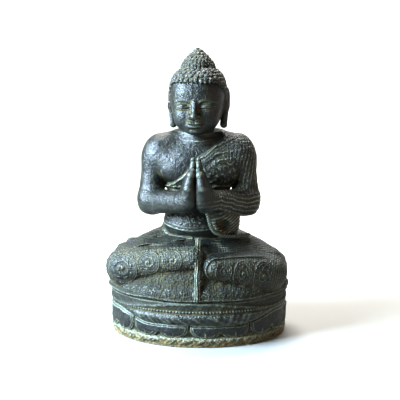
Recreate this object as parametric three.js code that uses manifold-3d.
// A seated figure in prayer, cast in stone in sections that are pinned together with steel
// dowels. Millimetres, +Z up, the face looks along -Y, the origin is at the middle of the
// underside. "Right" and "left" are the figure's own: its right hand is on the -X side.

import * as THREE from "three";
import { mergeVertices } from "three/addons/utils/BufferGeometryUtils.js";
import Module from "manifold-3d";

const wasm = await Module();
wasm.setup();

// ---- Driving dimensions ---------------------------------------------------------------------

const HEIGHT = 420; // floor to the tip of the topknot
const SEAT_WIDTH = 262; // the lotus pedestal, side to side
const SEAT_DEPTH = 190; // the lotus pedestal, front to back
const JOINT = 0.3; // width of a joint between two sections, filled with adhesive on the real one

// Heights of the joints in the stacked seat, measured from the floor.
const PLATE_TOP = 13;
const LOTUS_TOP = 37;
const CUSHION_TOP = 64;
const SKIRT_TOP = 84;

// The skeleton of the figure: places are for the left side, and x is mirrored for the right.
const HIP = [34, 18, 121];
const KNEE = [102, -20, 99];
const SHOULDER = [56, 5, 267];
const UPPER_ARM = [62, 3, 250];
const ELBOW = [71, -4, 194];
const WRIST = [21, -66, 204];
const FINGERTIPS = [4, -63, 263];
const NECK_TOP = 296; // joint between the neck and the head, at the neck's axis
const NECK_TILT = 11; // degrees that the joint falls towards the throat, so that it clears the chin
const HEAD_TURN = -4; // degrees about +Z, towards the right hand

const STONE = { color: 0x2a3230, roughness: 0.55, metalness: 0 };
const STEEL = { color: 0x8d9196, roughness: 0.35, metalness: 1 };

const RIGHT = -1;
const LEFT = 1;

// ---- Solids ---------------------------------------------------------------------------------

// A closed three.js geometry as a solid, with its faces turned outwards.
function toSolid(geometry) {
  const bare = geometry.clone();
  bare.deleteAttribute("normal");
  bare.deleteAttribute("uv");
  const merged = mergeVertices(bare, 1e-3);
  const index = merged.index.array;
  const triangles = [];
  for (let i = 0; i < index.length; i += 3) {
    const [a, b, c] = index.slice(i, i + 3);
    if (a !== b && b !== c && c !== a) triangles.push(a, b, c);
  }
  if (signedVolume(merged.attributes.position, triangles) < 0) triangles.reverse();
  return new wasm.Manifold(
    new wasm.Mesh({
      numProp: 3,
      vertProperties: new Float32Array(merged.attributes.position.array),
      triVerts: new Uint32Array(triangles),
    }),
  );
}

function signedVolume(position, triangles) {
  const [a, b, c] = [new THREE.Vector3(), new THREE.Vector3(), new THREE.Vector3()];
  let sixfold = 0;
  for (let i = 0; i < triangles.length; i += 3) {
    a.fromBufferAttribute(position, triangles[i]);
    b.fromBufferAttribute(position, triangles[i + 1]);
    c.fromBufferAttribute(position, triangles[i + 2]);
    sixfold += a.dot(b.cross(c));
  }
  return sixfold;
}

function toGeometry(solid) {
  const mesh = solid.getMesh();
  const geometry = new THREE.BufferGeometry();
  geometry.setAttribute("position", new THREE.BufferAttribute(mesh.vertProperties, 3));
  geometry.setIndex(new THREE.BufferAttribute(mesh.triVerts, 1));
  const faceted = geometry.toNonIndexed();
  faceted.computeVertexNormals();
  return faceted;
}

const join = (...solids) => solids.reduce((all, one) => all.add(one));
const cut = (solid, ...tools) => tools.reduce((left, tool) => left.subtract(tool), solid);

// The largest body of a solid, without the crumbs that a cut can leave.
function largest(solid) {
  return solid.decompose().reduce((a, b) => (a.volume() > b.volume() ? a : b));
}

// A power of 2 gives a true ellipsoid, and more makes it squarer.
function ellipsoid(centre, radii, { grow = 0, segments = 20, power = 2 } = {}) {
  const geometry = new THREE.SphereGeometry(1, segments, Math.round(segments * 0.6));
  geometry.rotateX(Math.PI / 2);
  const position = geometry.attributes.position;
  const point = new THREE.Vector3();
  for (let i = 0; i < position.count; i++) {
    point.fromBufferAttribute(position, i);
    const sum = point.toArray().reduce((all, one) => all + Math.abs(one) ** power, 0);
    point.multiplyScalar(sum ** (-1 / power));
    position.setXYZ(i, ...point.toArray());
  }
  geometry.scale(...radii.map((r) => r + grow));
  geometry.translate(...centre);
  return toSolid(geometry);
}

// Moves a geometry that stands on +Y so that it stands on "from" and points at "to".
function aim(geometry, from, to) {
  const start = new THREE.Vector3(...from);
  const along = new THREE.Vector3(...to).sub(start).normalize();
  const turn = new THREE.Quaternion().setFromUnitVectors(new THREE.Vector3(0, 1, 0), along);
  geometry.applyQuaternion(turn);
  return geometry.translate(...from);
}

const distance = (from, to) => new THREE.Vector3(...from).distanceTo(new THREE.Vector3(...to));

// Two balls and the cone that is tangent to both: an arm, a thigh or a finger.
function limbGeometry(from, fromRadius, to, toRadius, { grow = 0, segments = 16 } = {}) {
  const length = distance(from, to);
  const [r0, r1] = [fromRadius + grow, toRadius + grow];
  const tangent = Math.asin((r0 - r1) / length);
  const profile = [];
  const steps = Math.round(segments / 4);
  for (let i = 0; i <= steps; i++) {
    const angle = THREE.MathUtils.lerp(-Math.PI / 2, tangent, i / steps);
    profile.push(new THREE.Vector2(r0 * Math.cos(angle), r0 * Math.sin(angle)));
  }
  for (let i = 0; i <= steps; i++) {
    const angle = THREE.MathUtils.lerp(tangent, Math.PI / 2, i / steps);
    profile.push(new THREE.Vector2(r1 * Math.cos(angle), length + r1 * Math.sin(angle)));
  }
  profile[0].x = 0;
  profile[profile.length - 1].x = 0;
  return aim(new THREE.LatheGeometry(profile, segments), from, to);
}

const limb = (...sizes) => toSolid(limbGeometry(...sizes));

function rod(from, to, radius) {
  const length = distance(from, to);
  const geometry = new THREE.CylinderGeometry(radius, radius, length, 12);
  geometry.translate(0, length / 2, 0);
  return toSolid(aim(geometry, from, to));
}

// A box given by its lowest and highest corners.
function block(low, high) {
  const size = high.map((v, i) => v - low[i]);
  const geometry = new THREE.BoxGeometry(...size);
  geometry.translate(...low.map((v, i) => v + size[i] / 2));
  return toSolid(geometry);
}

const FAR = 400; // reaches past the whole figure
const above = (z) => block([-FAR, -FAR, z], [FAR, FAR, FAR * 2]);
const sideOf = (side, gap = JOINT / 2) =>
  side === LEFT
    ? block([gap, -FAR, -FAR], [FAR, FAR, FAR * 2])
    : block([-FAR, -FAR, -FAR], [-gap, FAR, FAR * 2]);

const onSide = ([x, y, z], side) => [side * x, y, z];

// ---- Steel dowels ---------------------------------------------------------------------------

const DOWELS = {
  neck_dowel: { from: [0, 2, 262], to: [0, 2, 326], radius: 4 },
  topknot_dowel: { from: [0, 2, 372], to: [0, 2, 406], radius: 3 },
};
for (const [name, side] of [["right", RIGHT], ["left", LEFT]]) {
  DOWELS[`${name}_shoulder_dowel`] = {
    from: onSide([26, 5, 266], side),
    to: onSide([66, 5, 266], side),
    radius: 4,
  };
  DOWELS[`${name}_wrist_dowel`] = {
    from: onSide([31, -53.4, 202], side),
    to: onSide([12, -77, 205.8], side),
    radius: 2,
  };
  DOWELS[`${name}_waist_dowel`] = {
    from: onSide([18, 14, 118], side),
    to: onSide([18, 14, 172], side),
    radius: 5,
  };
  DOWELS[`${name}_seat_dowel`] = {
    from: onSide([62, 6, 5], side),
    to: onSide([62, 6, 106], side),
    radius: 5,
  };
}

// The hole for a dowel: wider and longer than the dowel by the joint.
function socket({ from, to, radius }) {
  const start = new THREE.Vector3(...from);
  const end = new THREE.Vector3(...to);
  const along = end.clone().sub(start).normalize().multiplyScalar(JOINT);
  start.sub(along);
  end.add(along);
  return rod(start.toArray(), end.toArray(), radius + JOINT);
}

const sockets = Object.values(DOWELS).map(socket);

// ---- The seat: four elliptical tiers --------------------------------------------------------

// A tier turned from [share of the half width, height] points, then squeezed to the seat's depth.
function tier(points) {
  const outline = points.map(([share, z]) => new THREE.Vector2((share * SEAT_WIDTH) / 2, z));
  const profile = [
    new THREE.Vector2(0, outline[0].y),
    ...outline,
    new THREE.Vector2(0, outline[outline.length - 1].y),
  ];
  const geometry = new THREE.LatheGeometry(profile, 44);
  geometry.rotateX(Math.PI / 2);
  geometry.scale(1, SEAT_DEPTH / SEAT_WIDTH, 1);
  return toSolid(geometry);
}

// A rounded edge: points of a bulge from low to high that swells out from "neck" to "belly".
function bulge(neck, belly, low, high, steps = 4) {
  return Array.from({ length: steps + 1 }, (_, i) => {
    const t = i / steps;
    return [neck + (belly - neck) * Math.sin(Math.PI * t) ** 0.6, THREE.MathUtils.lerp(low, high, t)];
  });
}

const basePlate = () => tier([[0.965, 0], [0.99, 3], [1, 7], [0.985, PLATE_TOP]]);
const lotusTier = () => tier(bulge(0.95, 1, PLATE_TOP + JOINT, LOTUS_TOP));
const seatCushion = () => tier(bulge(0.97, 1.03, LOTUS_TOP + JOINT, CUSHION_TOP));
const robeSkirt = () => tier(bulge(0.985, 1.03, CUSHION_TOP + JOINT, SKIRT_TOP));

// ---- The crossed legs -----------------------------------------------------------------------

// The shins lie in front of the thighs. The right one rises towards its ankle, and the left one
// is thicker and lies lower.
const SHIN = {
  [RIGHT]: { bend: [101, -28, 103], bendRadius: 26, ankle: [14, -68, 124], ankleRadius: 15 },
  [LEFT]: { bend: [104, -30, 101], bendRadius: 27, ankle: [27, -71, 111], ankleRadius: 17 },
};

function legForm(side, grow = 0) {
  const { bend, bendRadius, ankle, ankleRadius } = SHIN[side];
  const size = { grow, segments: 20 };
  const thigh = limb(onSide(HIP, side), 40, onSide(KNEE, side), 31, size);
  const shin = limb(onSide(bend, side), bendRadius, onSide(ankle, side), ankleRadius, size);
  const lap = ellipsoid([0, -10, 108], [108, 68, 40], { grow, power: 2.2 });
  return join(thigh, shin, lap);
}

// The end of the sash, which falls over the joint between the two shins.
const sashForm = (grow = 0) =>
  limb([0, -66, 132], 7, [0, -84, 92], 8, { grow, segments: 12 });

function leg(side) {
  const whole = legForm(side).intersect(above(SKIRT_TOP + JOINT)).intersect(sideOf(side));
  return largest(cut(whole, sashForm(JOINT), ...sockets));
}

function sash() {
  const front = sashForm().intersect(above(SKIRT_TOP + JOINT));
  return largest(front);
}

// ---- The body -------------------------------------------------------------------------------

function torsoForm(grow = 0) {
  const pelvis = ellipsoid([0, 24, 124], [64, 42, 46], { grow });
  const belly = ellipsoid([0, 6, 160], [50, 38, 42], { grow });
  const trunk = limb([0, 9, 150], 41, [0, 7, 250], 39, { grow, segments: 20 });
  const chest = ellipsoid([0, 4, 248], [57, 41, 46], { grow, power: 2.2 });
  const neck = limb([0, 4, 270], 24, [0, 2, 300], 22, { grow });
  const slopes = [RIGHT, LEFT].map((side) =>
    limb(onSide([20, 8, 276], side), 21, onSide([50, 5, 275.5], side), 20.5, { grow }),
  );
  return join(pelvis, belly, trunk, chest, neck, ...slopes);
}

function armForm(side, grow = 0) {
  const [shoulder, upper, elbow, wrist] = [SHOULDER, UPPER_ARM, ELBOW, WRIST].map((p) =>
    onSide(p, side),
  );
  return join(
    limb(shoulder, 25, upper, 21, { grow }),
    limb(upper, 21, elbow, 19, { grow }),
    limb(elbow, 19, wrist, 12.5, { grow }),
  );
}

// A palm with its fingers closed and flat against the other hand, and the thumb behind it.
function handForm(side, grow = 0) {
  const width = 2.3; // of the palm, against its thickness
  const [tipX, tipY, tipZ] = FINGERTIPS;
  const heel = [side * 8, -73 / width, 209];
  const tips = [side * tipX, tipY / width, tipZ];
  const palm = limbGeometry(heel, 8, tips, 4, { grow }).scale(1, width, 1);
  const thumb = limb(onSide([5, -57, 212], side), 5, onSide([4, -50, 240], side), 4, {
    grow,
    segments: 10,
  });
  return join(toSolid(palm), thumb);
}

// The corner of the robe that hangs from the left forearm onto the lap.
const sleeveForm = (grow = 0) => ellipsoid([37, -35, 163], [25, 24, 34], { grow, power: 3 });

// Everything above the joint in the neck.
function aboveNeck(gap) {
  const geometry = new THREE.BoxGeometry(FAR, FAR, FAR);
  geometry.translate(0, 0, FAR / 2 + gap);
  geometry.rotateX(THREE.MathUtils.degToRad(NECK_TILT));
  geometry.translate(0, 2, NECK_TOP);
  return toSolid(geometry);
}

function hand(side) {
  return largest(cut(handForm(side).intersect(sideOf(side)), ...sockets));
}

function arm(side) {
  return largest(cut(armForm(side), handForm(RIGHT, JOINT), handForm(LEFT, JOINT), ...sockets));
}

function sleeve() {
  const neighbours = [legForm(LEFT, JOINT), armForm(LEFT, JOINT), handForm(LEFT, JOINT)];
  return largest(cut(sleeveForm(), ...neighbours));
}

function torso() {
  const neighbours = [
    legForm(RIGHT, JOINT),
    legForm(LEFT, JOINT),
    armForm(RIGHT, JOINT),
    armForm(LEFT, JOINT),
    sleeveForm(JOINT),
  ];
  const upright = torsoForm().intersect(above(SKIRT_TOP + JOINT));
  return largest(cut(upright, aboveNeck(0), ...neighbours, ...sockets));
}

// ---- The head, in its own frame: the origin is on the neck joint ------------------------------

const SKULL = { centre: [0, -1, 56], radii: [39, 43, 41], power: 2.5 };
const HAIR_THICKNESS = 1.6;
const TOPKNOT_BASE = 91;
const TOPKNOT_RADIUS = 25;

// Everything above the hairline, which falls from the forehead to the nape.
function aboveHairline(gap) {
  const geometry = new THREE.BoxGeometry(FAR, FAR, FAR);
  geometry.translate(0, 0, FAR / 2 + gap);
  geometry.rotateX(THREE.MathUtils.degToRad(-31));
  geometry.translate(0, -43, 72);
  return toSolid(geometry);
}

const inHeadFrame = (solid) => {
  const turned = new THREE.Matrix4().makeRotationZ(THREE.MathUtils.degToRad(-HEAD_TURN));
  const moved = new THREE.Matrix4().makeTranslation(0, 0, -NECK_TOP);
  return solid.transform(turned.multiply(moved).elements);
};
const headSockets = sockets.map(inHeadFrame);

function headForm() {
  const skull = ellipsoid(SKULL.centre, SKULL.radii, { power: SKULL.power });
  const jaw = ellipsoid([0, -14, 31], [33, 30, 28], { power: 2.2 });
  const neck = limb([0, 2, -18], 22, [0, 2, 36], 24);
  const nose = limb([0, -43, 51], 4, [0, -47, 34], 5.5, { segments: 10 });
  const ears = [RIGHT, LEFT].map((side) => {
    const lobe = limb(onSide([40, 2, 36], side), 5, onSide([36, 0, 9], side), 5, { segments: 12 });
    return join(ellipsoid(onSide([40, 4, 47], side), [6, 9, 18], { segments: 12 }), lobe);
  });
  return join(skull, jaw, neck, nose, ...ears);
}

function head() {
  const whole = headForm().intersect(inHeadFrame(aboveNeck(JOINT)));
  return largest(cut(whole, aboveHairline(0), ...headSockets));
}

// The topknot stands on a flat seat in the hair.
function topknotForm() {
  const steps = 8;
  const top = HEIGHT - NECK_TOP;
  const profile = [new THREE.Vector2(0, TOPKNOT_BASE), new THREE.Vector2(23.5, TOPKNOT_BASE)];
  for (let i = 0; i < steps; i++) {
    const t = i / steps;
    const radius = TOPKNOT_RADIUS * Math.cos((Math.PI / 2) * t) ** 0.75;
    profile.push(new THREE.Vector2(radius, THREE.MathUtils.lerp(TOPKNOT_BASE + 6, top, t)));
  }
  profile.push(new THREE.Vector2(0, top));
  const geometry = new THREE.LatheGeometry(profile, 28);
  geometry.rotateX(Math.PI / 2);
  geometry.translate(0, 1, 0);
  return toSolid(geometry);
}

function hairCap() {
  const dome = ellipsoid(SKULL.centre, SKULL.radii, {
    grow: HAIR_THICKNESS,
    segments: 28,
    power: SKULL.power,
  });
  const cap = dome.intersect(aboveHairline(JOINT));
  const seat = block([-FAR, -FAR, TOPKNOT_BASE - JOINT], [FAR, FAR, FAR]);
  return largest(cut(cap, seat, ...headSockets));
}

const topknot = () => largest(cut(topknotForm(), ...headSockets));

// ---- The scene graph ------------------------------------------------------------------------

function piece(name, solid, finish) {
  const mesh = new THREE.Mesh(toGeometry(solid), new THREE.MeshStandardMaterial(finish));
  mesh.name = name;
  return mesh;
}

const statue = new THREE.Group();

const seat = new THREE.Group();
seat.add(
  piece("base_plate", cut(basePlate(), ...sockets), STONE),
  piece("lotus_tier", cut(lotusTier(), ...sockets), STONE),
  piece("seat_cushion", cut(seatCushion(), ...sockets), STONE),
  piece("robe_skirt", cut(robeSkirt(), ...sockets), STONE),
);

const body = new THREE.Group();
body.add(
  piece("right_leg", leg(RIGHT), STONE),
  piece("left_leg", leg(LEFT), STONE),
  piece("sash_end", sash(), STONE),
  piece("torso", torso(), STONE),
  piece("right_arm", arm(RIGHT), STONE),
  piece("left_arm", arm(LEFT), STONE),
  piece("right_hand", hand(RIGHT), STONE),
  piece("left_hand", hand(LEFT), STONE),
  piece("sleeve_fall", sleeve(), STONE),
);

const headGroup = new THREE.Group();
headGroup.position.z = NECK_TOP;
headGroup.rotation.z = THREE.MathUtils.degToRad(HEAD_TURN);
headGroup.add(
  piece("head", head(), STONE),
  piece("hair_cap", hairCap(), STONE),
  piece("topknot", topknot(), STONE),
);

const steel = new THREE.Group();
for (const [name, dowel] of Object.entries(DOWELS)) {
  steel.add(piece(name, rod(dowel.from, dowel.to, dowel.radius), STEEL));
}

statue.add(seat, body, headGroup, steel);

export default statue;
